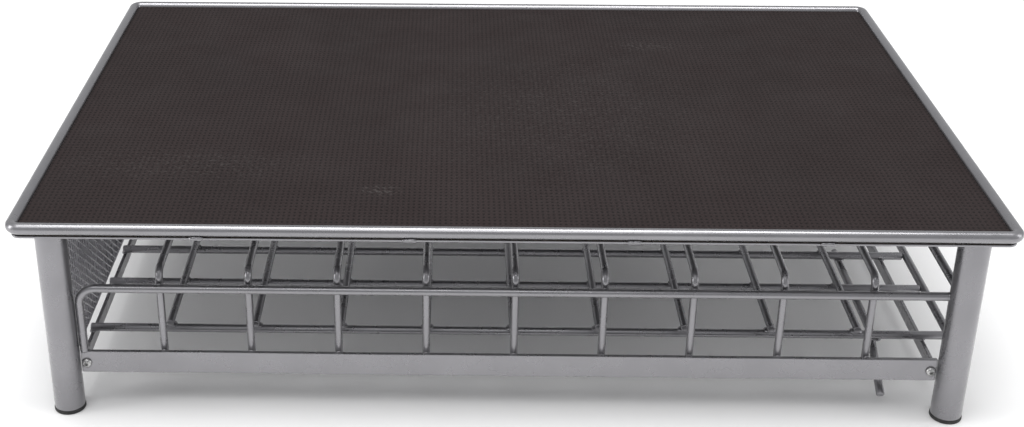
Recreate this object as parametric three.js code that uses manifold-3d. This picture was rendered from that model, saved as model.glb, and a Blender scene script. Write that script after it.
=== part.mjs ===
// Monitor riser stand: a matted top in a round-rod ring on four tube legs, with a wire rack below it.
// Millimetres, +Z up, front edge towards -Y, origin on the floor under the centre of the top.
import * as THREE from 'three';
import { mergeVertices } from 'three/addons/utils/BufferGeometryUtils.js';
import Module from 'manifold-3d';

const wasm = await Module();
wasm.setup();

// Overall size.
const width = 500;
const depth = 330;
const height = 118;
const fitGap = 0.3;

// Top.
const ringR = 3;
const ringBendR = 5;
const ringZ = height - ringR;
const ringHalfX = width / 2 - ringR;
const ringHalfY = depth / 2 - ringR;
const matRiseOverAxis = 0.4;
const matThick = 1.4;
const boardThick = 2.6;
const panelThick = 1.2;
const panelOverhang = 0.3;
const matTopZ = ringZ + matRiseOverAxis;
const boardTopZ = matTopZ - matThick - fitGap;
const panelTopZ = boardTopZ - boardThick - fitGap;
const panelBottomZ = panelTopZ - panelThick;

// Tack welds between the ring and the panel.
const weldR = 0.95;
const weldHalfLength = 4;
const weldForward = 1.5;
const weldBelowAxis = 3.9;
const weldSpacing = [-155, -50, 60, 154];

// Legs and feet.
const legR = 8;
const legWall = 1.2;
const legInset = 15.5;
const legX = ringHalfX - legInset;
const legY = ringHalfY - legInset;
const footThick = 2;
const footR = 8.25;
const footChamfer = 0.5;
const plugDepth = 8;
const plugR = legR - legWall - fitGap;
const legTopZ = panelBottomZ - fitGap;

// Flat bars between the legs, and the side rails they are screwed to.
const barThick = 2.5;
const barFaceY = 146;
const barBottomZ = 21.5;
const barTopZ = 34;
const barHalfX = legX - legR - fitGap;
const railThick = 2;
const railBottomZ = 24;
const railTopZ = 30.5;
const tabLength = 7.5;
const tabFaceY = barFaceY - barThick - fitGap;

// Screws.
const screwX = 220.3;
const screwZ = (railBottomZ + railTopZ) / 2;
const screwHeadR = 2.7;
const screwHeadHigh = 1.7;
const screwShankR = 1.3;
const screwHoleR = screwShankR + fitGap;
const screwLength = barThick + fitGap + railThick + 1.5;
const socketR = 1.25;
const socketDeep = 1.1;

// Wire rack, a little off centre: its cross bars reach past the right rail to the side rod.
const rackX = 3.5;
const wireR = 2;
const wirePitch = 45.8;
const wireCount = 9;
const rodR = 2.25;
const crossBarY = [120, 71, 33];
const crossBarZ = railTopZ + fitGap + rodR;
const rackRodZ = crossBarZ + rodR + fitGap + wireR;
const rackRodOverrun = 3;
const sideRodX = 236.5;

// Front gallery and the upper wires.
const wireY = 141;
const wireBottomZ = 22;
const wireBendR = 4.5;
const upperWireZ = 80;
const upperWireRearY = 143;
const galleryY = wireY + wireR + fitGap + rodR;
const galleryZ = 72;
const galleryBendR = 6;
const galleryLeftX = barHalfX - rodR;

// Side guards.
const meshX = 229.3;
const meshThick = 1.6;
const meshBottomZ = 25;
const meshHalfY = 138.6;
const guardX = 230;

// Hook rod: runs under the right end of the rack and turns down behind the front bar.
const hookX = 198;
const hookR = 2.2;
const hookZ = crossBarZ - rodR - fitGap - hookR;
const hookRearY = 20;
const hookTurnY = 108;
const hookTipY = 140.5;
const hookTipZ = 8.5;
const hookBendR = 20;

// Facet counts.
const rodSides = 12;
const ringSides = 16;
const tubeSides = 32;
const bendSteps = 6;

function metal(color, roughness, metalness) {
  return new THREE.MeshStandardMaterial({ color, roughness, metalness });
}

const silverPaint = () => metal(0x9a9a9e, 0.42, 0.55);
const steel = () => metal(0xb9babd, 0.3, 0.9);
const darkMat = () => metal(0x3b3735, 0.85, 0);
const boardBrown = () => metal(0x7d6a55, 0.9, 0);
const blackRubber = () => metal(0x161616, 0.8, 0);
const meshGrey = () => metal(0x85878a, 0.5, 0.5);

const stand = new THREE.Group();
stand.name = 'monitor_riser_stand';

function addPiece(name, geometry, material) {
  const piece = new THREE.Mesh(geometry, material);
  piece.name = name;
  stand.add(piece);
}

// Boolean helpers.
function toSolid(geometry) {
  const bare = new THREE.BufferGeometry();
  bare.setAttribute('position', geometry.getAttribute('position').clone());
  if (geometry.index) bare.setIndex(geometry.index.clone());
  const welded = mergeVertices(bare, 1e-4);
  return new wasm.Manifold(new wasm.Mesh({
    numProp: 3,
    vertProperties: new Float32Array(welded.getAttribute('position').array),
    triVerts: new Uint32Array(welded.index.array),
  }));
}

function toGeometry(solid) {
  const mesh = solid.getMesh();
  const geometry = new THREE.BufferGeometry();
  geometry.setAttribute('position', new THREE.BufferAttribute(mesh.vertProperties, 3));
  geometry.setIndex(new THREE.BufferAttribute(mesh.triVerts, 1));
  geometry.computeVertexNormals();
  return geometry;
}

// A path that visits its stations exactly, so bends keep their radius.
class StationPath extends THREE.Curve {
  constructor(stations) {
    super();
    this.stations = stations;
  }

  indexAt(u) {
    return Math.round(u * (this.stations.length - 1));
  }

  getPointAt(u, target = new THREE.Vector3()) {
    return target.copy(this.stations[this.indexAt(u)]);
  }

  getTangentAt(u, target = new THREE.Vector3()) {
    const i = this.indexAt(u);
    const before = this.stations[Math.max(i - 1, 0)];
    const after = this.stations[Math.min(i + 1, this.stations.length - 1)];
    const here = this.stations[i];
    const arriving = here.clone().sub(before).normalize();
    const leaving = after.clone().sub(here).normalize();
    return target.copy(arriving).add(leaving).normalize();
  }
}

// Replaces each inner corner of a polyline by a circular bend.
function roundedStations(corners, bendR) {
  const stations = [corners[0].clone()];
  for (let i = 1; i < corners.length - 1; i += 1) {
    const toStart = corners[i - 1].clone().sub(corners[i]).normalize();
    const toEnd = corners[i + 1].clone().sub(corners[i]).normalize();
    const halfAngle = toStart.angleTo(toEnd) / 2;
    const bisector = toStart.clone().add(toEnd).normalize();
    const centre = corners[i].clone().addScaledVector(bisector, bendR / Math.sin(halfAngle));
    const first = corners[i].clone().addScaledVector(toStart, bendR / Math.tan(halfAngle)).sub(centre);
    const axis = new THREE.Vector3().crossVectors(toStart, toEnd).normalize().negate();
    const sweep = Math.PI - 2 * halfAngle;
    for (let step = 0; step <= bendSteps; step += 1) {
      const spoke = first.clone().applyAxisAngle(axis, (sweep * step) / bendSteps);
      stations.push(centre.clone().add(spoke));
    }
  }
  stations.push(corners[corners.length - 1].clone());
  return stations;
}

function circleShape(radius, sides) {
  const points = [];
  for (let i = 0; i < sides; i += 1) {
    const angle = (2 * Math.PI * i) / sides;
    points.push(new THREE.Vector2(radius * Math.cos(angle), radius * Math.sin(angle)));
  }
  return new THREE.Shape(points);
}

function bentRod(corners, radius, bendR, sides = rodSides) {
  const stations = roundedStations(corners, bendR);
  return new THREE.ExtrudeGeometry(circleShape(radius, sides), {
    steps: stations.length - 1,
    bevelEnabled: false,
    extrudePath: new StationPath(stations),
  });
}

function straightRod(from, to, radius) {
  const along = to.clone().sub(from);
  const rod = new THREE.CylinderGeometry(radius, radius, along.length(), rodSides);
  const turn = new THREE.Quaternion().setFromUnitVectors(new THREE.Vector3(0, 1, 0), along.clone().normalize());
  rod.applyQuaternion(turn);
  const middle = from.clone().add(to).multiplyScalar(0.5);
  return rod.translate(middle.x, middle.y, middle.z);
}

function block(minX, maxX, minY, maxY, minZ, maxZ) {
  const box = new THREE.BoxGeometry(maxX - minX, maxY - minY, maxZ - minZ);
  return box.translate((minX + maxX) / 2, (minY + maxY) / 2, (minZ + maxZ) / 2);
}

// A flat sheet with rounded corners, from its underside height.
function roundedSheet(halfX, halfY, cornerR, thick, bottomZ) {
  const outline = new THREE.Shape();
  outline.moveTo(-halfX + cornerR, -halfY);
  outline.lineTo(halfX - cornerR, -halfY);
  outline.absarc(halfX - cornerR, -halfY + cornerR, cornerR, -Math.PI / 2, 0);
  outline.lineTo(halfX, halfY - cornerR);
  outline.absarc(halfX - cornerR, halfY - cornerR, cornerR, 0, Math.PI / 2);
  outline.lineTo(-halfX + cornerR, halfY);
  outline.absarc(-halfX + cornerR, halfY - cornerR, cornerR, Math.PI / 2, Math.PI);
  outline.lineTo(-halfX, -halfY + cornerR);
  outline.absarc(-halfX + cornerR, -halfY + cornerR, cornerR, Math.PI, 1.5 * Math.PI);
  const sheet = new THREE.ExtrudeGeometry(outline, { depth: thick, bevelEnabled: false, curveSegments: bendSteps });
  return sheet.translate(0, 0, bottomZ);
}

// Turned pieces: profile points are [radius, height] round a vertical axis.
function turned(profile, sides) {
  const points = profile.map(([radius, z]) => new THREE.Vector2(radius, z));
  return new THREE.LatheGeometry(points, sides).rotateX(Math.PI / 2);
}

function halfRing(side) {
  const y = side * ringHalfY;
  const corners = [
    new THREE.Vector3(-ringHalfX, 0, ringZ),
    new THREE.Vector3(-ringHalfX, y, ringZ),
    new THREE.Vector3(ringHalfX, y, ringZ),
    new THREE.Vector3(ringHalfX, 0, ringZ),
  ];
  return toSolid(bentRod(corners, ringR, ringBendR, ringSides));
}

function topRing() {
  return toGeometry(halfRing(-1).add(halfRing(1)));
}

function topSheet(thick, bottomZ) {
  const halfX = ringHalfX - ringR - fitGap;
  const halfY = ringHalfY - ringR - fitGap;
  return roundedSheet(halfX, halfY, ringBendR - ringR, thick, bottomZ);
}

function ringWeld(x) {
  const bead = new THREE.SphereGeometry(weldR, rodSides, 8);
  bead.scale(weldHalfLength / weldR, 1, 1);
  return bead.translate(x, -ringHalfY - weldForward, ringZ - weldBelowAxis);
}

function leg(x, y) {
  const bore = legR - legWall;
  const profile = [[bore, footThick], [legR, footThick], [legR, legTopZ], [bore, legTopZ], [bore, footThick]];
  return turned(profile, tubeSides).translate(x, y, 0);
}

function foot(x, y) {
  const rimZ = footThick - fitGap;
  const plugTopZ = footThick + plugDepth;
  const profile = [
    [0, 0], [footR - footChamfer, 0], [footR, footChamfer], [footR, rimZ],
    [plugR, rimZ], [plugR, plugTopZ], [0, plugTopZ],
  ];
  return turned(profile, tubeSides).translate(x, y, 0);
}

function screwHole(x, y) {
  const hole = new THREE.CylinderGeometry(screwHoleR, screwHoleR, 4 * barThick, rodSides);
  return toSolid(hole.translate(x, y, screwZ));
}

function flatBar(side) {
  const outerY = side * barFaceY;
  const innerY = side * (barFaceY - barThick);
  const bar = block(-barHalfX, barHalfX, Math.min(outerY, innerY), Math.max(outerY, innerY), barBottomZ, barTopZ);
  const drilled = toSolid(bar).subtract(screwHole(-screwX, outerY)).subtract(screwHole(screwX, outerY));
  return toGeometry(drilled);
}

// A flat strip with both ends bent inwards into screw tabs.
function sideRail(side) {
  const outerX = side * barHalfX;
  const innerX = side * (barHalfX - railThick);
  const tabX = side * (barHalfX - tabLength);
  let rail = toSolid(block(
    Math.min(outerX, innerX), Math.max(outerX, innerX), -tabFaceY, tabFaceY, railBottomZ, railTopZ,
  ));
  for (const end of [-1, 1]) {
    const faceY = end * tabFaceY;
    const backY = end * (tabFaceY - railThick);
    const tab = block(
      Math.min(outerX, tabX), Math.max(outerX, tabX), Math.min(faceY, backY), Math.max(faceY, backY),
      railBottomZ, railTopZ,
    );
    rail = rail.add(toSolid(tab)).subtract(screwHole(side * screwX, faceY));
  }
  return toGeometry(rail);
}

// Dome-headed screw with a hexagon socket, pointing into the stand from the bar face.
function barScrew(x, side) {
  const underHead = fitGap;
  const profile = [
    [0, -screwLength], [screwShankR, -screwLength], [screwShankR, underHead], [screwHeadR, underHead],
    [screwHeadR, underHead + 0.25 * screwHeadHigh], [0.78 * screwHeadR, underHead + 0.75 * screwHeadHigh],
    [0.4 * screwHeadR, underHead + screwHeadHigh], [0, underHead + screwHeadHigh],
  ];
  const body = toSolid(turned(profile, rodSides));
  const socket = new THREE.CylinderGeometry(socketR, socketR, 2 * socketDeep, 6).rotateX(Math.PI / 2);
  socket.translate(0, 0, underHead + screwHeadHigh);
  const screw = toGeometry(body.subtract(toSolid(socket)));
  screw.rotateX(-side * (Math.PI / 2));
  return screw.translate(x, side * barFaceY, screwZ);
}

function galleryRod() {
  const corners = [
    new THREE.Vector3(-galleryLeftX, -galleryY, barTopZ + fitGap),
    new THREE.Vector3(-galleryLeftX, -galleryY, galleryZ),
    new THREE.Vector3(barHalfX, -galleryY, galleryZ),
  ];
  return bentRod(corners, rodR, galleryBendR);
}

function galleryWire(x) {
  const corners = [
    new THREE.Vector3(x, -wireY, wireBottomZ),
    new THREE.Vector3(x, -wireY, upperWireZ),
    new THREE.Vector3(x, upperWireRearY, upperWireZ),
  ];
  return bentRod(corners, wireR, wireBendR);
}

function upperRearRod() {
  const z = upperWireZ - wireR - fitGap - rodR;
  return straightRod(new THREE.Vector3(-barHalfX, wireY, z), new THREE.Vector3(barHalfX, wireY, z), rodR);
}

function rackCrossBar(y) {
  const rightX = sideRodX - rodR - fitGap;
  return straightRod(new THREE.Vector3(-barHalfX, y, crossBarZ), new THREE.Vector3(rightX, y, crossBarZ), rodR);
}

function rackRod(x) {
  const endY = crossBarY[0] + rackRodOverrun;
  return straightRod(new THREE.Vector3(x, -endY, rackRodZ), new THREE.Vector3(x, endY, rackRodZ), wireR);
}

function rackSideRod() {
  const endY = crossBarY[0] + rodR;
  const from = new THREE.Vector3(sideRodX, -endY, crossBarZ);
  return straightRod(from, new THREE.Vector3(sideRodX, endY, crossBarZ), rodR);
}

function guardRod() {
  const endY = legY - legR - fitGap;
  const from = new THREE.Vector3(guardX, -endY, galleryZ);
  return straightRod(from, new THREE.Vector3(guardX, endY, galleryZ), rodR);
}

function hookRod() {
  const corners = [
    new THREE.Vector3(hookX, -hookRearY, hookZ),
    new THREE.Vector3(hookX, -hookTurnY, hookZ),
    new THREE.Vector3(hookX, -hookTipY, hookTipZ),
  ];
  return bentRod(corners, hookR, hookBendR);
}

addPiece('top_ring', topRing(), silverPaint());
addPiece('top_mat', topSheet(matThick, matTopZ - matThick), darkMat());
addPiece('top_board', topSheet(boardThick, boardTopZ - boardThick), boardBrown());
addPiece(
  'top_panel',
  roundedSheet(ringHalfX + panelOverhang, ringHalfY + panelOverhang, ringBendR, panelThick, panelBottomZ),
  silverPaint(),
);
weldSpacing.forEach((x, i) => addPiece(`ring_weld_${i + 1}`, ringWeld(x), silverPaint()));

for (const [endName, end] of [['front', -1], ['rear', 1]]) {
  for (const [sideName, side] of [['left', -1], ['right', 1]]) {
    addPiece(`leg_${endName}_${sideName}`, leg(side * legX, end * legY), silverPaint());
    addPiece(`foot_${endName}_${sideName}`, foot(side * legX, end * legY), blackRubber());
    addPiece(`bar_screw_${endName}_${sideName}`, barScrew(side * screwX, end), steel());
  }
  addPiece(`${endName}_bar`, flatBar(end), silverPaint());
}
addPiece('side_rail_left', sideRail(-1), silverPaint());
addPiece('side_rail_right', sideRail(1), silverPaint());

addPiece(
  'mesh_panel_left',
  block(-meshX - meshThick / 2, -meshX + meshThick / 2, -meshHalfY, meshHalfY, meshBottomZ, legTopZ),
  meshGrey(),
);
addPiece('guard_rod_right', guardRod(), silverPaint());

const crossBarRow = [...crossBarY.map((y) => -y), ...crossBarY.toReversed()];
crossBarRow.forEach((y, i) => addPiece(`rack_cross_bar_${i + 1}`, rackCrossBar(y), silverPaint()));
addPiece('rack_side_rod', rackSideRod(), silverPaint());
addPiece('gallery_rod', galleryRod(), silverPaint());
addPiece('upper_rear_rod', upperRearRod(), silverPaint());
for (let i = 0; i < wireCount; i += 1) {
  const x = rackX + wirePitch * (i - (wireCount - 1) / 2);
  addPiece(`rack_rod_${i + 1}`, rackRod(x), silverPaint());
  addPiece(`gallery_wire_${i + 1}`, galleryWire(x), silverPaint());
}
addPiece('hook_rod', hookRod(), silverPaint());

export default stand;
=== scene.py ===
# Looks of the monitor riser stand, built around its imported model.
# Metres, +Z up, front edge towards -Y, origin on the floor under the centre of the top.
import math

import bmesh
import bpy
from mathutils import Matrix, Vector, noise


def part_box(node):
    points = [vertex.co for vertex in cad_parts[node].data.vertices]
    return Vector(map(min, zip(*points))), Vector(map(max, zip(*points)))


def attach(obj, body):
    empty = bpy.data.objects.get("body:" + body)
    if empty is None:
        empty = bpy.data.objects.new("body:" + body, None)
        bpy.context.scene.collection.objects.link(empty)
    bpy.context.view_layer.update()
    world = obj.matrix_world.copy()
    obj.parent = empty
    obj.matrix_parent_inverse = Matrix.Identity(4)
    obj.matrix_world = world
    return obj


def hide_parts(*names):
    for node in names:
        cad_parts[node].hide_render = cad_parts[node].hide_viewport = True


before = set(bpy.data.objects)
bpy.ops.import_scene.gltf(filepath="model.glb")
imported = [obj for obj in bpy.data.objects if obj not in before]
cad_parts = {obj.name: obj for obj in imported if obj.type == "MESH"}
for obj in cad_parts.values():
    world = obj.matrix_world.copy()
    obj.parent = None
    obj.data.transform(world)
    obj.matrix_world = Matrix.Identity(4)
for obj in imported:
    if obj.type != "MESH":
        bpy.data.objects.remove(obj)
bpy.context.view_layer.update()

scene = bpy.context.scene
MM = 0.001


def in_mm(*lengths):
    return tuple(length * MM for length in lengths)


# Mesh fineness.
ROD_SIDES = 24
RING_SIDES = 32
TUBE_SIDES = 64
BEND_STEPS = 14
EDGE_STEPS = 4
BEVEL_STEPS = 3
BEAD_SEGMENTS = 16
BEAD_RINGS = 10
SHARP_ANGLE = math.radians(40)

# Small edge radii.
CUT_EDGE = 0.5 * MM
SHEET_EDGE = 0.35 * MM

# Bends of the rods, measured on the rod axis.
RING_BEND = 5 * MM
WIRE_BEND = 5.5 * MM
GALLERY_BEND = 9 * MM
HOOK_BEND = 20 * MM
HOOK_DROP = 32.5 * MM

# Woven-look relief of the mat: rows of small pits.
PIT_PITCH_X = 2.7 * MM
PIT_PITCH_Y = 3.4 * MM
PIT_DEPTH = 0.3 * MM

# Expanded mesh of the left panel.
MESH_PITCH_Y = 5.8 * MM
MESH_PITCH_Z = 4.8 * MM
STRAND_HALF_WIDTH = 0.6 * MM
STRAND_HALF_THICK = 0.7 * MM
BORDER_RADIUS = 0.9 * MM

# Sheet metal, tube and rubber that the boxes of the nodes don't tell.
LEG_WALL = 1.2 * MM
LEG_EDGE = 0.4 * MM
FOOT_EDGE = 0.6 * MM
FOOT_LIP = 2.6 * MM
RAIL_THICK = 2 * MM
RAIL_BEND = 2 * MM
SHANK_RADIUS = 1.3 * MM
SHANK_LENGTH = 6 * MM

# Weld beads: half sizes in X, Y and Z.
RAIL_BEAD = in_mm(1.9, 2.3, 0.9)
CROSSING_BEAD = in_mm(2.7, 2.3, 1.1)
UNDERSIDE_BEAD = in_mm(2.6, 2.2, 1.0)
WIRE_ON_GALLERY_BEAD = in_mm(2.4, 1.0, 1.5)
WIRE_ON_BAR_BEAD = in_mm(2.6, 0.9, 3)
GALLERY_ON_BAR_BEAD = in_mm(2.3, 1.6, 1.3)
GALLERY_ON_LEG_BEAD = in_mm(1.0, 2.2, 2.3)


# ---------------------------------------------------------------- materials


def make_node(tree, kind, inputs=None, **settings):
    made = tree.nodes.new(kind)
    for key, value in settings.items():
        setattr(made, key, value)
    for key, value in (inputs or {}).items():
        if isinstance(value, bpy.types.NodeSocket):
            tree.links.new(value, made.inputs[key])
        else:
            made.inputs[key].default_value = value
    return made.outputs[0]


def start_material(name, metallic):
    material = bpy.data.materials.new(name)
    material.use_nodes = True
    shader = material.node_tree.nodes["Principled BSDF"]
    shader.inputs["Metallic"].default_value = metallic
    return material, material.node_tree, shader


def object_point(tree, stretch=(1, 1, 1)):
    place = tree.nodes.new("ShaderNodeTexCoord").outputs["Object"]
    return make_node(tree, "ShaderNodeMapping", {"Vector": place, "Scale": stretch})


def cloud(tree, feature, detail=3, stretch=(1, 1, 1)):
    """Noise whose blotches are about one feature wide."""
    point = object_point(tree, stretch)
    return make_node(tree, "ShaderNodeTexNoise", {"Vector": point, "Scale": 1 / feature, "Detail": detail})


def remap(tree, value, low, high, to_low=0.0, to_high=1.0):
    levels = {"Value": value, "From Min": low, "From Max": high, "To Min": to_low, "To Max": to_high}
    return make_node(tree, "ShaderNodeMapRange", levels)


def spread(tree, blotches, to_low=0.0, to_high=1.0):
    """Noise stretched so that its usual range, 0.3 to 0.7, covers the wanted one."""
    return remap(tree, blotches, 0.3, 0.7, to_low, to_high)


def calculate(tree, operation, first, second=0.0):
    return make_node(tree, "ShaderNodeMath", {0: first, 1: second}, operation=operation)


def blend_colour(tree, factor, first, second):
    mixer = tree.nodes.new("ShaderNodeMix")
    mixer.data_type = "RGBA"
    for name, value in (("Factor_Float", factor), ("A_Color", first), ("B_Color", second)):
        socket = next(s for s in mixer.inputs if s.identifier == name)
        if isinstance(value, bpy.types.NodeSocket):
            tree.links.new(value, socket)
        else:
            socket.default_value = value
    return next(s for s in mixer.outputs if s.identifier == "Result_Color")


def grey(level, warmth=0.0):
    return (level * (1 + warmth), level, level * (1 - warmth), 1)


def silver(level):
    """A grey with the faint violet cast of aluminium-flake paint."""
    return (level * 1.0, level * 0.985, level * 1.035, 1)


def brown_black(level):
    """The slightly red-brown black of the mat."""
    return (level * 1.5, level * 1.0, level * 0.98, 1)


def set_bump(tree, shader, height, depth, strength=1.0):
    bump = {"Height": height, "Distance": depth, "Strength": strength}
    tree.links.new(make_node(tree, "ShaderNodeBump", bump), shader.inputs["Normal"])


def silver_paint(name, level, roughness):
    """Satin silver paint: flake grain, slow shade changes, faint dull marks, dust on upward faces."""
    marked, dark, pale, glinting = (silver(level * share) for share in (0.7, 0.94, 1.05, 1.2))
    material, tree, shader = start_material(name, metallic=0.82)
    shade = spread(tree, cloud(tree, 35 * MM))
    colour = blend_colour(tree, shade, dark, pale)
    flake = remap(tree, cloud(tree, 0.25 * MM, detail=1), 0.35, 0.65, 0.0, 0.2)
    colour = blend_colour(tree, flake, colour, glinting)
    marks = remap(tree, cloud(tree, 2.2 * MM, detail=6), 0.72, 0.82, 0.0, 0.12)
    colour = blend_colour(tree, marks, colour, marked)
    facing = tree.nodes.new("ShaderNodeNewGeometry").outputs["Normal"]
    upward = make_node(tree, "ShaderNodeSeparateXYZ", {"Vector": facing}).node.outputs["Z"]
    dustiness = remap(tree, upward, 0.5, 1.0, 0.0, 0.1)
    dust = calculate(tree, "MULTIPLY", dustiness, cloud(tree, 6 * MM, detail=5))
    colour = blend_colour(tree, dust, colour, grey(0.62, 0.02))
    tree.links.new(colour, shader.inputs["Base Color"])
    sheen = spread(tree, cloud(tree, 12 * MM, detail=4), roughness - 0.05, roughness + 0.07)
    tree.links.new(sheen, shader.inputs["Roughness"])
    shader.inputs["Coat Weight"].default_value = 0.5
    shader.inputs["Coat Roughness"].default_value = 0.12
    set_bump(tree, shader, cloud(tree, 1.5 * MM, detail=1), 0.02 * MM, 0.15)
    return material


def plated_steel():
    material, tree, shader = start_material("plated_steel", metallic=0.95)
    stain = remap(tree, cloud(tree, 0.8 * MM, detail=5), 0.35, 0.7)
    colour = blend_colour(tree, stain, grey(0.52), grey(0.28, 0.02))
    tree.links.new(colour, shader.inputs["Base Color"])
    sheen = spread(tree, cloud(tree, 0.5 * MM, detail=3), 0.18, 0.38)
    tree.links.new(sheen, shader.inputs["Roughness"])
    set_bump(tree, shader, cloud(tree, 0.2 * MM, detail=2, stretch=(1, 1, 5)), 0.02 * MM)
    return material


def pit_wave(tree, coordinate, pitch):
    """1 on each pit line, 0 half way between two."""
    turns = calculate(tree, "MULTIPLY", coordinate, 2 * math.pi / pitch)
    return remap(tree, calculate(tree, "COSINE", turns), -1.0, 1.0)


def pale_oval(tree, centre, half_size):
    """A soft oval round a point of the top: 1 near its centre, fading to 0 at its edge."""
    point = tree.nodes.new("ShaderNodeTexCoord").outputs["Object"]
    from_centre = make_node(tree, "ShaderNodeVectorMath", {0: point, 1: centre}, operation="SUBTRACT")
    scaled = make_node(tree, "ShaderNodeVectorMath", {0: from_centre, 1: half_size}, operation="DIVIDE")
    reach = make_node(tree, "ShaderNodeVectorMath", {0: scaled}, operation="LENGTH").node.outputs["Value"]
    return remap(tree, reach, 0.2, 1.0, 1.0, 0.0)


def pale_patches(tree):
    """Paler patches on the mat: centre, half size and strength of each. The first three are dusty spots and
    streaks; the broad last one lightens the middle of the mat.
    """
    low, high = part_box("top_mat")
    depth, top = high.y - low.y, high.z
    patches = (
        (Vector((-0.067, low.y + 0.13 * depth, top)), Vector((0.014, 0.008, 1)), 1.0),
        (Vector((0.092, low.y + 0.79 * depth, top)), Vector((0.03, 0.012, 1)), 0.55),
        (Vector((-0.17, low.y + 0.22 * depth, top)), Vector((0.09, 0.03, 1)), 0.4),
        (Vector((0.03, low.y + 0.45 * depth, top)), Vector((0.12, 0.14, 1)), 0.3),
    )
    total = 0.0
    for centre, half_size, strength in patches:
        patch = calculate(tree, "MULTIPLY", pale_oval(tree, centre, half_size), strength)
        total = calculate(tree, "ADD", total, patch)
    grain = remap(tree, cloud(tree, 2.4 * MM, detail=4), 0.5, 0.72)
    return calculate(tree, "MULTIPLY", total, grain)


def dark_mat():
    """Dark embossed mat: pitted rows with painted shade in the pits, slow tone changes, pale dusty patches,
    a paler middle and specks.
    """
    pit_shade, dark, pale, on_fibre = (brown_black(level) for level in (0.002, 0.0075, 0.011, 0.021))
    material, tree, shader = start_material("dark_mat", metallic=0.0)
    split = make_node(tree, "ShaderNodeSeparateXYZ", {"Vector": object_point(tree)}).node
    pits = calculate(
        tree, "MULTIPLY",
        pit_wave(tree, split.outputs["X"], PIT_PITCH_X), pit_wave(tree, split.outputs["Y"], PIT_PITCH_Y),
    )
    shade = spread(tree, cloud(tree, 60 * MM, detail=4, stretch=(1, 0.6, 1)))
    colour = blend_colour(tree, shade, dark, pale)
    fibre = remap(tree, cloud(tree, 1.1 * MM, detail=4), 0.35, 0.7, 0.0, 0.6)
    colour = blend_colour(tree, fibre, colour, on_fibre)
    # Painted shade: the pits are coloured almost black, as if shade fell into them.
    colour = blend_colour(tree, remap(tree, pits, 0.3, 0.9, 0.0, 0.9), colour, pit_shade)
    colour = blend_colour(tree, calculate(tree, "MULTIPLY", pale_patches(tree), 0.3), colour, grey(0.16, 0.05))
    speck = remap(tree, cloud(tree, 1.6 * MM, detail=2), 0.80, 0.84, 0.0, 0.6)
    colour = blend_colour(tree, speck, colour, grey(0.3, 0.05))
    tree.links.new(colour, shader.inputs["Base Color"])
    sheen = spread(tree, cloud(tree, 25 * MM, detail=5), 0.62, 0.8)
    tree.links.new(sheen, shader.inputs["Roughness"])
    shader.inputs["Specular IOR Level"].default_value = 0.18
    set_bump(tree, shader, cloud(tree, 0.5 * MM, detail=3), 0.08 * MM, 0.7)
    return material


def black_rubber():
    material, tree, shader = start_material("black_rubber", metallic=0.0)
    dust = remap(tree, cloud(tree, 2 * MM, detail=5), 0.45, 0.8)
    tree.links.new(blend_colour(tree, dust, grey(0.012), grey(0.05, 0.02)), shader.inputs["Base Color"])
    tree.links.new(spread(tree, cloud(tree, 3 * MM), 0.65, 0.85), shader.inputs["Roughness"])
    set_bump(tree, shader, cloud(tree, 0.4 * MM, detail=3), 0.05 * MM)
    return material


def fibreboard():
    material, tree, shader = start_material("board", metallic=0.0)
    fibre = spread(tree, cloud(tree, 1.5 * MM, detail=6, stretch=(0.5, 2, 2)))
    colour = blend_colour(tree, fibre, grey(0.12, 0.25), grey(0.22, 0.25))
    tree.links.new(colour, shader.inputs["Base Color"])
    tree.links.new(remap(tree, fibre, 0.0, 1.0, 0.75, 0.9), shader.inputs["Roughness"])
    set_bump(tree, shader, fibre, 0.1 * MM)
    return material


def pale_floor():
    material, tree, shader = start_material("pale_floor", metallic=0.0)
    shade = spread(tree, cloud(tree, 600 * MM, detail=2))
    colour = blend_colour(tree, shade, grey(0.88, 0.004), grey(0.91, 0.004))
    tree.links.new(colour, shader.inputs["Base Color"])
    tree.links.new(spread(tree, cloud(tree, 50 * MM), 0.6, 0.75), shader.inputs["Roughness"])
    return material


MATERIALS = {
    "silver_paint": silver_paint("silver_paint", level=0.235, roughness=0.28),
    # The mesh gets the frame's silver paint at about twice the level: painted light that brightens the mesh
    # standing in shade under the top and gives it painted glints.
    "mesh_paint": silver_paint("mesh_paint", level=0.48, roughness=0.26),
    "dark_mat": dark_mat(),
    "board": fibreboard(),
    "black_rubber": black_rubber(),
    "plated_steel": plated_steel(),
}


# ---------------------------------------------------------------- mesh tools


def show(name, bm, slot, *nodes, bevel=0.0):
    """Turns a finished mesh into a piece that stands for its CAD nodes."""
    bmesh.ops.recalc_face_normals(bm, faces=bm.faces)
    mesh = bpy.data.meshes.new(name)
    bm.to_mesh(mesh)
    bm.free()
    mesh.shade_smooth()
    mesh.set_sharp_from_angle(angle=SHARP_ANGLE)
    mesh.materials.append(MATERIALS[slot])
    piece = bpy.data.objects.new(name, mesh)
    scene.collection.objects.link(piece)
    if bevel:
        rounding = piece.modifiers.new("edges", "BEVEL")
        rounding.width = bevel
        rounding.segments = BEVEL_STEPS
        rounding.limit_method = "ANGLE"
        rounding.harden_normals = True
    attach(piece, "root")
    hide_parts(*nodes)
    return piece


def tangents(path, closed):
    result = []
    last = len(path) - 1
    for i, point in enumerate(path):
        before = path[i - 1] if closed or i else point
        after = path[(i + 1) % len(path)] if closed or i < last else point
        arriving = (point - before).normalized()
        leaving = (after - point).normalized()
        result.append((arriving + leaving).normalized())
    return result


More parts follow.
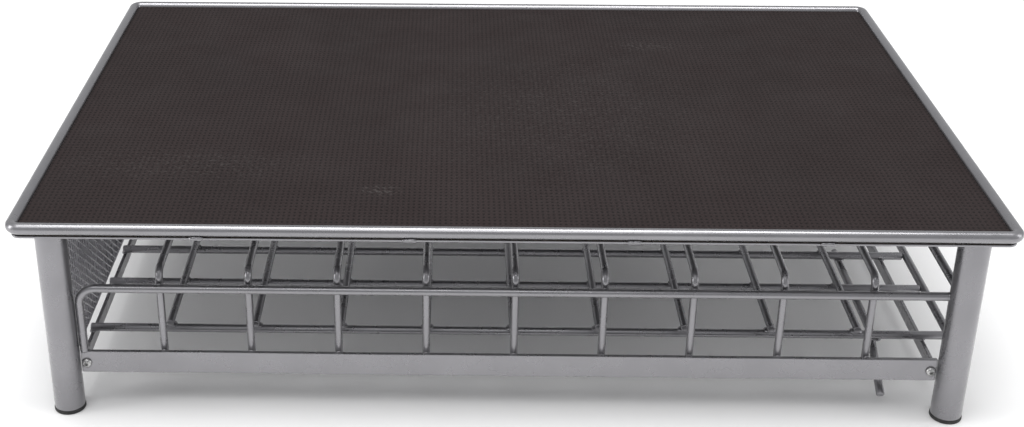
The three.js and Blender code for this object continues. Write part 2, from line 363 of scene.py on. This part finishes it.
def rounded_path(corners, bend, closed=False):
    """Replaces the inner corners of a polyline by circular bends."""
    count = len(corners)
    path = []
    for i, corner in enumerate(corners):
        if not closed and i in (0, count - 1):
            path.append(corner.copy())
            continue
        to_start = (corners[i - 1] - corner).normalized()
        to_end = (corners[(i + 1) % count] - corner).normalized()
        half = to_start.angle(to_end) / 2
        centre = corner + (to_start + to_end).normalized() * bend / math.sin(half)
        spoke = corner + to_start * bend / math.tan(half) - centre
        axis = to_end.cross(to_start).normalized()
        sweep_angle = math.pi - 2 * half
        for step in range(BEND_STEPS + 1):
            turn = Matrix.Rotation(sweep_angle * step / BEND_STEPS, 3, axis)
            path.append(centre + turn @ spoke)
    return path


def add_ring(bm, centre, direction, side, radius, sides):
    up = direction.cross(side)
    ring = []
    for i in range(sides):
        angle = 2 * math.pi * i / sides
        offset = side * math.cos(angle) + up * math.sin(angle)
        ring.append(bm.verts.new(centre + offset * radius))
    return ring


def bridge(bm, first, second):
    count = len(first)
    for i in range(count):
        j = (i + 1) % count
        bm.faces.new((first[i], first[j], second[j], second[i]))


def cut_end(point, inwards, radius):
    """Stations that round the edge of a cut rod end, from the end face inwards."""
    stations = []
    for step in range(EDGE_STEPS):
        angle = math.pi / 2 * step / EDGE_STEPS
        inset = CUT_EDGE * (1 - math.cos(angle))
        stations.append((point + inwards * inset, radius - CUT_EDGE * (1 - math.sin(angle))))
    stations.append((point + inwards * CUT_EDGE, radius))
    return stations


def sweep(bm, path, radius, sides=ROD_SIDES, closed=False):
    """A round rod along a path, with softly rounded cut ends."""
    directions = tangents(path, closed)
    side = directions[0].orthogonal().normalized()
    stations = [(point, radius, direction) for point, direction in zip(path, directions)]
    if not closed:
        head = [(*pair, directions[0]) for pair in cut_end(path[0], directions[0], radius)]
        tail = [(*pair, directions[-1]) for pair in cut_end(path[-1], -directions[-1], radius)]
        stations = head + stations[1:-1] + tail[::-1]
    rings = []
    for point, ring_radius, direction in stations:
        side = (side - direction * side.dot(direction)).normalized()
        rings.append(add_ring(bm, point, direction, side, ring_radius, sides))
    for first, second in zip(rings, rings[1:]):
        bridge(bm, first, second)
    if closed:
        bridge(bm, rings[-1], rings[0])
    else:
        bm.faces.new(rings[0])
        bm.faces.new(rings[-1])


def bead(bm, centre, radii, roughness=0.12):
    """A small lumpy weld bead; radii are its half sizes in X, Y and Z."""
    place = Matrix.Translation(centre) @ Matrix.Diagonal((*radii, 1))
    made = bmesh.ops.create_uvsphere(
        bm, u_segments=BEAD_SEGMENTS, v_segments=BEAD_RINGS, radius=1, matrix=place
    )
    lump_size = 1.6 * MM
    for vert in made["verts"]:
        lump = 1 + roughness * noise.noise(vert.co / lump_size)
        vert.co = centre + (vert.co - centre) * lump


def turn_profile(bm, profile, centre, sides=TUBE_SIDES):
    """A turned shape: profile points are (radius, height) round a vertical axis; a radius of 0 closes it."""
    up, side = Vector((0, 0, 1)), Vector((1, 0, 0))
    previous = None
    for radius, height in profile:
        at = centre + up * height
        ring = [bm.verts.new(at)] if radius == 0 else add_ring(bm, at, up, side, radius, sides)
        if previous:
            join_rings(bm, previous, ring)
        previous = ring


def join_rings(bm, first, second):
    if len(first) > 1 and len(second) > 1:
        bridge(bm, first, second)
        return
    hub, rim = (first, second) if len(first) == 1 else (second, first)
    for i, vert in enumerate(rim):
        bm.faces.new((hub[0], vert, rim[(i + 1) % len(rim)]))


def rounded_corner(radius, height, edge, start, end):
    """Profile points of a rounded edge whose arc runs between two angles about its own centre."""
    points = []
    for step in range(EDGE_STEPS + 1):
        angle = math.radians(start + (end - start) * step / EDGE_STEPS)
        points.append((radius + edge * math.cos(angle), height + edge * math.sin(angle)))
    return points


def middle(node):
    low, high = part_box(node)
    return (low + high) / 2


# ---------------------------------------------------------------- top


def top_ring():
    low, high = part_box("top_ring")
    radius = (high.z - low.z) / 2
    half_x, half_y, z = high.x - radius, high.y - radius, low.z + radius
    corners = [Vector((x, y, z)) for x, y in
               ((-half_x, -half_y), (half_x, -half_y), (half_x, half_y), (-half_x, half_y))]
    bm = bmesh.new()
    sweep(bm, rounded_path(corners, RING_BEND, closed=True), radius, RING_SIDES, closed=True)
    butt_weld_x = 20 * MM
    butt_weld = (1.4 * MM, radius * 1.05, radius * 1.05)
    bead(bm, Vector((butt_weld_x, half_y, z)), butt_weld, roughness=0.05)
    show("ring_rod", bm, "silver_paint", "top_ring")


def pit_lines(low, high, pitch):
    """Grid lines at half the pit pitch, with one on the centre and one on each edge."""
    count = math.floor(high / (pitch / 2))
    inner = [i * pitch / 2 for i in range(-count, count + 1)]
    return [(low, 1)] + [(value, i % 2) for i, value in enumerate(inner, start=count)] + [(high, 1)]


def top_mat():
    """The mat with its real relief, and an edge that reaches down to the board."""
    low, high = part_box("top_mat")
    xs = pit_lines(low.x, high.x, PIT_PITCH_X)
    ys = pit_lines(low.y, high.y, PIT_PITCH_Y)
    bm = bmesh.new()
    grid = []
    for y, off_row in ys:
        row = []
        for x, off_column in xs:
            pit = 0 if off_row or off_column else PIT_DEPTH
            row.append(bm.verts.new((x, y, high.z - pit)))
        grid.append(row)
    for lower, upper in zip(grid, grid[1:]):
        for i in range(len(lower) - 1):
            bm.faces.new((lower[i], lower[i + 1], upper[i + 1], upper[i]))
    rim = [edge for edge in bm.edges if edge.is_boundary]
    wall = bmesh.ops.extrude_edge_only(bm, edges=rim)["geom"]
    for vert in (item for item in wall if isinstance(item, bmesh.types.BMVert)):
        vert.co.z = low.z
    bottom = [edge for edge in bm.edges if edge.is_boundary]
    bmesh.ops.contextual_create(bm, geom=bottom)
    show("mat", bm, "dark_mat", "top_mat")


def sheet(name, node, slot, corner):
    """A flat sheet with rounded corners that fills its node's box."""
    low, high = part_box(node)
    corners = [Vector((x, y, low.z)) for x, y in
               ((low.x, low.y), (high.x, low.y), (high.x, high.y), (low.x, high.y))]
    bm = bmesh.new()
    outline = [bm.verts.new(point) for point in rounded_path(corners, corner, closed=True)]
    face = bm.faces.new(outline)
    raised = bmesh.ops.extrude_face_region(bm, geom=[face])["geom"]
    raised_verts = [item for item in raised if isinstance(item, bmesh.types.BMVert)]
    bmesh.ops.translate(bm, vec=(0, 0, high.z - low.z), verts=raised_verts)
    show(name, bm, slot, node, bevel=SHEET_EDGE)


def ring_welds():
    """Each tack is three blobs in a row, placed and sized by shares of its half length."""
    blobs = ((-0.35, 0.6), (0.1, 0.75), (0.45, 0.5))
    fullness = 1.1
    for number in range(1, 5):
        node = f"ring_weld_{number}"
        low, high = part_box(node)
        half = (high - low) / 2
        bm = bmesh.new()
        for shift, share in blobs:
            centre = middle(node) + Vector((half.x * shift, 0, 0))
            blob = (half.x * share, half.y * fullness, half.z * fullness)
            bead(bm, centre, blob, roughness=0.2)
        show(f"tack_{number}", bm, "silver_paint", node)


# ---------------------------------------------------------------- legs and bars


def leg(end, side):
    """A tube with a ring of weld beads round its top, under the panel."""
    node = f"leg_{end}_{side}"
    low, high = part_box(node)
    radius = (high.x - low.x) / 2
    centre = Vector((middle(node).x, middle(node).y, 0))
    outer, inner = radius - LEG_EDGE, radius - LEG_WALL
    profile = [(inner, high.z), (inner, low.z)]
    profile += rounded_corner(outer, low.z + LEG_EDGE, LEG_EDGE, -90, 0)
    profile += rounded_corner(outer, high.z - LEG_EDGE, LEG_EDGE, 0, 90)
    profile += [(inner, high.z)]
    bm = bmesh.new()
    turn_profile(bm, profile, centre)
    weld_ring(bm, centre, radius, high.z)
    show(f"{node}_tube", bm, "silver_paint", node)


def weld_ring(bm, centre, tube_radius, top_z):
    """Overlapping beads of slightly changing size round the top of a leg."""
    count = 36
    ring_radius = tube_radius + 0.2 * MM
    bead_z = top_z - 0.5 * MM
    half_height = 0.8 * MM
    mean_size, size_change, size_pace = 1.05, 0.25, 2.4
    for step in range(count):
        angle = 2 * math.pi * step / count
        reach = Vector((math.cos(angle), math.sin(angle), 0)) * ring_radius
        size = (mean_size + size_change * math.sin(step * size_pace)) * MM
        bead(bm, centre + reach + Vector((0, 0, bead_z)), (size, size, half_height), roughness=0.2)


def foot(end, side):
    """A flanged cap whose plug goes up into the leg."""
    node = f"foot_{end}_{side}"
    low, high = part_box(node)
    radius = (high.x - low.x) / 2
    plug_radius = radius - FOOT_LIP
    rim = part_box(f"leg_{end}_{side}")[0].z
    profile = [(0, low.z)]
    profile += rounded_corner(radius - FOOT_EDGE, low.z + FOOT_EDGE, FOOT_EDGE, -90, 0)
    profile += rounded_corner(radius - FOOT_EDGE, rim - FOOT_EDGE, FOOT_EDGE, 0, 90)
    profile += [(plug_radius, rim), (plug_radius, high.z), (0, high.z)]
    bm = bmesh.new()
    turn_profile(bm, profile, Vector((middle(node).x, middle(node).y, 0)))
    show(f"{node}_cap", bm, "black_rubber", node)


def flat_bar(end):
    """Flat strip with slightly wavy faces."""
    node = f"{end}_bar"
    low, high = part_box(node)
    bm = bmesh.new()
    spans = 90
    wave = 0.12 * MM
    wave_length = 45 * MM
    rings = []
    for i in range(spans + 1):
        x = low.x + (high.x - low.x) * i / spans
        shift = wave * noise.noise(Vector((x / wave_length, low.y / wave_length, 0)))
        section = ((low.y, low.z), (high.y, low.z), (high.y, high.z), (low.y, high.z))
        rings.append([bm.verts.new((x, y + shift, z + shift)) for y, z in section])
    for first, second in zip(rings, rings[1:]):
        bridge(bm, first, second)
    bm.faces.new(rings[0])
    bm.faces.new(rings[-1])
    show(f"{node}_strip", bm, "silver_paint", node, bevel=SHEET_EDGE)


def side_rail(side):
    """Flat strip standing on edge, both ends bent inwards behind the bars."""
    node = f"side_rail_{side}"
    low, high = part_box(node)
    outward = 1 if side == "right" else -1
    outer_x = high.x if side == "right" else low.x
    tab_x = low.x if side == "right" else high.x
    line_x = outer_x - outward * RAIL_THICK / 2
    line_y = high.y - RAIL_THICK / 2
    corners = [Vector((tab_x, -line_y, 0)), Vector((line_x, -line_y, 0)),
               Vector((line_x, line_y, 0)), Vector((tab_x, line_y, 0))]
    path = rounded_path(corners, RAIL_BEND)
    bm = bmesh.new()
    rings = []
    for point, direction in zip(path, tangents(path, False)):
        across = direction.cross(Vector((0, 0, 1))) * RAIL_THICK / 2
        section = (point - across, point + across)
        ring = [Vector((p.x, p.y, low.z)) for p in section]
        ring += [Vector((p.x, p.y, high.z)) for p in section[::-1]]
        rings.append([bm.verts.new(p) for p in ring])
    for first, second in zip(rings, rings[1:]):
        bridge(bm, first, second)
    bm.faces.new(rings[0])
    bm.faces.new(rings[-1])
    show(f"{node}_strip", bm, "silver_paint", node, bevel=SHEET_EDGE)


def hexagon(radius):
    """Distance from the axis to a hexagon's edge, for each side of a round section."""
    reach = []
    for i in range(TUBE_SIDES):
        angle = (2 * math.pi * i / TUBE_SIDES) % (math.pi / 3) - math.pi / 6
        reach.append(radius * math.cos(math.pi / 6) / math.cos(angle))
    return reach


def screw(end, side):
    """Dome head with a hexagon socket, facing outwards from its bar."""
    node = f"bar_screw_{end}_{side}"
    low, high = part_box(node)
    outward = -1 if end == "front" else 1
    bar_low, bar_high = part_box(f"{end}_bar")
    face_y = bar_low.y if end == "front" else bar_high.y
    tip_y = low.y if end == "front" else high.y
    radius = (high.x - low.x) / 2
    rise = abs(tip_y - face_y)
    socket = radius * 0.46
    socket_floor = socket * 0.94
    socket_deep = rise * 0.65
    foot_height, dome_height = 0.1 * rise, 0.3 * rise
    bm = bmesh.new()
    rings = [([radius] * TUBE_SIDES, foot_height), ([radius] * TUBE_SIDES, dome_height)]
    for degrees in (20, 40, 55, 68):
        angle = math.radians(degrees)
        dome = dome_height + (rise - dome_height) * math.sin(angle)
        rings.append(([radius * math.cos(angle)] * TUBE_SIDES, dome))
    rings += [(hexagon(socket), rise), (hexagon(socket_floor), rise - socket_deep)]
    previous = None
    for reaches, height in rings:
        ring = []
        for i, reach in enumerate(reaches):
            angle = 2 * math.pi * i / TUBE_SIDES
            place = (middle(node).x + reach * math.cos(angle), face_y + outward * height)
            ring.append(bm.verts.new((*place, middle(node).z + reach * math.sin(angle))))
        if previous:
            bridge(bm, previous, ring)
        previous = ring
    bm.faces.new(previous)
    x, z = middle(node).x, middle(node).z
    shank_end = face_y - outward * SHANK_LENGTH
    sweep(bm, [Vector((x, shank_end, z)), Vector((x, face_y, z))], SHANK_RADIUS)
    show(f"{node}_head", bm, "plated_steel", node)


# ---------------------------------------------------------------- wires


def rod_line(node):
    """Radius and the two axis ends of a straight rod that runs along X or Y."""
    low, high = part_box(node)
    size = high - low
    along = max(range(3), key=lambda axis: size[axis])
    first, last = middle(node), middle(node)
    first[along], last[along] = low[along], high[along]
    return size.z / 2, first, last


def straight_rod(node, beads=()):
    radius, first, last = rod_line(node)
    bm = bmesh.new()
    sweep(bm, [first, last], radius)
    for centre, radii in beads:
        bead(bm, centre, radii)
    show(f"{node}_wire", bm, "silver_paint", node)


def cross_bar_beads(node):
    """Fillets where a cross bar lies on the two side rails."""
    y = middle(node).y
    above_rail = 0.5 * MM
    beads = []
    for side in ("left", "right"):
        rail_low, rail_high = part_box(f"side_rail_{side}")
        x = rail_low.x + RAIL_THICK / 2 if side == "left" else rail_high.x - RAIL_THICK / 2
        beads.append((Vector((x, y, rail_high.z + above_rail)), RAIL_BEAD))
    return beads


def rack_rod_beads(node):
    """Fillets where a rod crosses the cross bars; the end ones are fuller."""
    x = middle(node).x
    beads = []
    for number in range(1, 7):
        low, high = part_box(f"rack_cross_bar_{number}")
        y = (low.y + high.y) / 2
        fullness = 1.3 if number in (1, 6) else 1.0
        beads.append((Vector((x, y, high.z)), tuple(size * fullness for size in CROSSING_BEAD)))
    return beads


def gallery_wire(number):
    """Rises behind the front bar and bends back to become an upper wire."""
    node = f"gallery_wire_{number}"
    low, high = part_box(node)
    radius = (high.x - low.x) / 2
    x, front_y, top_z = middle(node).x, low.y + radius, high.z - radius
    corners = [Vector((x, front_y, low.z)), Vector((x, front_y, top_z)), Vector((x, high.y, top_z))]
    bm = bmesh.new()
    sweep(bm, rounded_path(corners, WIRE_BEND), radius)
    rod_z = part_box("gallery_rod")[1].z - radius
    bead(bm, Vector((x, low.y, rod_z)), WIRE_ON_GALLERY_BEAD)
    bar_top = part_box("front_bar")[1].z
    bead(bm, Vector((x, low.y, bar_top - WIRE_ON_BAR_BEAD[2])), WIRE_ON_BAR_BEAD)
    rear_low, rear_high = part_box("upper_rear_rod")
    bead(bm, Vector((x, (rear_low.y + rear_high.y) / 2, rear_high.z)), UNDERSIDE_BEAD)
    show(f"{node}_rod", bm, "silver_paint", node)


def gallery_rod():
    """Stands on the left end of the bar, bends over and runs across into the right leg."""
    low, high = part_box("gallery_rod")
    radius = (high.y - low.y) / 2
    y, top_z = low.y + radius, high.z - radius
    left_x = low.x + radius
    corners = [Vector((left_x, y, low.z)), Vector((left_x, y, top_z)), Vector((high.x, y, top_z))]
    bm = bmesh.new()
    sweep(bm, rounded_path(corners, GALLERY_BEND), radius)
    bead(bm, corners[0], GALLERY_ON_BAR_BEAD, roughness=0.2)
    bead(bm, corners[-1], GALLERY_ON_LEG_BEAD, roughness=0.2)
    show("gallery_rod_wire", bm, "silver_paint", "gallery_rod")


def hook_rod():
    """Runs forward under the rack and turns down behind the front bar."""
    low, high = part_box("hook_rod")
    radius = (high.x - low.x) / 2
    x, z = middle("hook_rod").x, high.z - radius
    drop_angle = math.atan2(z - low.z - radius, HOOK_DROP)
    tip = Vector((x, low.y + radius * math.sin(drop_angle), low.z + radius * math.cos(drop_angle)))
    corners = [Vector((x, high.y, z)), Vector((x, tip.y + HOOK_DROP, z)), tip]
    bm = bmesh.new()
    sweep(bm, rounded_path(corners, HOOK_BEND), radius)
    for number in (1, 2, 3):
        bar = middle(f"rack_cross_bar_{number}")
        bead(bm, Vector((x, bar.y, high.z)), UNDERSIDE_BEAD)
    show("hook_rod_wire", bm, "silver_paint", "hook_rod")


# ---------------------------------------------------------------- mesh panel


def clipped_strand(start_sum, slope, low, high):
    """Ends, inside the panel, of the line y / pitch_y + slope * z / pitch_z = start_sum."""
    ends = []
    for z in (low.z, high.z):
        y = (start_sum - slope * z / MESH_PITCH_Z) * MESH_PITCH_Y
        if y < low.y or y > high.y:
            y = min(max(y, low.y), high.y)
            z = (start_sum - y / MESH_PITCH_Y) * MESH_PITCH_Z * slope
        ends.append(Vector((0, y, z)))
    return ends


def add_strand(bm, first, last, x):
    """A thin slanted ribbon with a diamond section, so that its facets catch the light."""
    along = (last - first).normalized()
    across = along.cross(Vector((1, 0, 0))) * STRAND_HALF_WIDTH
    out = Vector((STRAND_HALF_THICK, 0, 0))
    rings = []
    for point in (first, last):
        at = Vector((x, point.y, point.z))
        rings.append([bm.verts.new(at + offset) for offset in (across, out, -across, -out)])
    bridge(bm, *rings)
    bm.faces.new(rings[0])
    bm.faces.new(rings[1])


def mesh_panel():
    """Two crossing layers of slanted strands in a thin round border."""
    low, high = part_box("mesh_panel_left")
    inner_low = low + Vector((0, BORDER_RADIUS, BORDER_RADIUS))
    inner_high = high - Vector((0, BORDER_RADIUS, BORDER_RADIUS))
    x = middle("mesh_panel_left").x
    layer_shift = STRAND_HALF_THICK / 6
    bm = bmesh.new()
    for slope in (-1, 1):
        levels = [slope * z / MESH_PITCH_Z for z in (inner_low.z, inner_high.z)]
        first = math.ceil(inner_low.y / MESH_PITCH_Y + min(levels))
        last = math.floor(inner_high.y / MESH_PITCH_Y + max(levels))
        for count in range(first, last + 1):
            start, end = clipped_strand(count, slope, inner_low, inner_high)
            if (end - start).length > STRAND_HALF_WIDTH:
                add_strand(bm, start, end, x + slope * layer_shift)
    corners = [Vector((x, y, z)) for y, z in
               ((inner_low.y, inner_low.z), (inner_high.y, inner_low.z),
                (inner_high.y, inner_high.z), (inner_low.y, inner_high.z))]
    border_bend = 2 * BORDER_RADIUS
    border_sides = 10
    sweep(bm, rounded_path(corners, border_bend, closed=True), BORDER_RADIUS, border_sides, closed=True)
    # Its paint carries painted light: the frame's silver at about twice the level.
    show("mesh_panel", bm, "mesh_paint", "mesh_panel_left")


# ---------------------------------------------------------------- assembly


def build_stand():
    top_ring()
    top_mat()
    sheet("panel", "top_panel", "silver_paint", RING_BEND)
    ring_welds()
    for end in ("front", "rear"):
        flat_bar(end)
        for side in ("left", "right"):
            leg(end, side)
            foot(end, side)
            screw(end, side)
    side_rail("left")
    side_rail("right")
    mesh_panel()
    for node in ("guard_rod_right", "rack_side_rod", "upper_rear_rod"):
        straight_rod(node)
    for number in range(1, 7):
        straight_rod(f"rack_cross_bar_{number}", cross_bar_beads(f"rack_cross_bar_{number}"))
    for number in range(1, 10):
        straight_rod(f"rack_rod_{number}", rack_rod_beads(f"rack_rod_{number}"))
        gallery_wire(number)
    gallery_rod()
    hook_rod()


def paint_kept_node(node, slot):
    """The board is hidden inside the top, so its CAD shape is kept."""
    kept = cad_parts[node]
    kept.data.materials.clear()
    kept.data.materials.append(MATERIALS[slot])


# ---------------------------------------------------------------- room and camera


def floor():
    half = 4.0
    drop = 0.1 * MM
    bm = bmesh.new()
    corners = ((-half, -half), (half, -half), (half, half), (-half, half))
    bm.faces.new([bm.verts.new((x, y, -drop)) for x, y in corners])
    mesh = bpy.data.meshes.new("floor")
    bm.to_mesh(mesh)
    bm.free()
    mesh.materials.append(pale_floor())
    plane = bpy.data.objects.new("floor", mesh)
    scene.collection.objects.link(plane)


def softbox(name, place, width, height, power):
    """A rectangular lamp turned towards the middle of the stand."""
    target = Vector((0, 0, 0.1))
    light = bpy.data.lights.new(name, "AREA")
    light.shape = "RECTANGLE"
    light.size, light.size_y = width, height
    light.energy = power
    lamp = bpy.data.objects.new(name, light)
    lamp.location = place
    lamp.rotation_euler = (target - Vector(place)).to_track_quat("-Z", "Y").to_euler()
    scene.collection.objects.link(lamp)


def lighting():
    world = bpy.data.worlds.new("studio")
    world.use_nodes = True
    background = world.node_tree.nodes["Background"]
    background.inputs["Color"].default_value = (0.97, 0.98, 1.0, 1)
    background.inputs["Strength"].default_value = 0.56
    scene.world = world
    softbox("front", place=(-0.3, -1.0, 1.7), width=1.5, height=0.8, power=9)
    softbox("overhead", place=(0.0, -0.15, 2.0), width=1.6, height=0.8, power=30)
    softbox("left", place=(-1.7, -0.5, 0.7), width=0.6, height=1.2, power=11)
    softbox("right", place=(1.7, -0.4, 0.7), width=0.6, height=1.2, power=7)
    scene.view_settings.view_transform = "Standard"


def camera():
    """Seen from in front and above, turned a little to the left of straight ahead."""
    focal_in_widths = 1.4840
    yaw, pitch, roll = math.radians(1.036), math.radians(25.409), math.radians(0.027)
    eye = Vector((-0.0290, -0.8176, 0.4656))
    centre_offset = (0.0817, -0.0522)
    forward = Vector((-math.sin(yaw) * math.cos(pitch), math.cos(yaw) * math.cos(pitch), -math.sin(pitch)))
    right = Vector((math.cos(yaw), math.sin(yaw), 0))
    up = right.cross(forward)
    right, up = (right * math.cos(roll) + up * math.sin(roll), up * math.cos(roll) - right * math.sin(roll))
    data = bpy.data.cameras.new("camera")
    data.sensor_width = 36
    data.lens = focal_in_widths * data.sensor_width
    data.shift_x, data.shift_y = centre_offset
    eyepiece = bpy.data.objects.new("camera", data)
    eyepiece.matrix_world = Matrix.Translation(eye) @ Matrix((right, up, -forward)).transposed().to_4x4()
    scene.collection.objects.link(eyepiece)
    scene.camera = eyepiece


camera()
build_stand()
paint_kept_node("top_board", "board")
floor()
lighting()
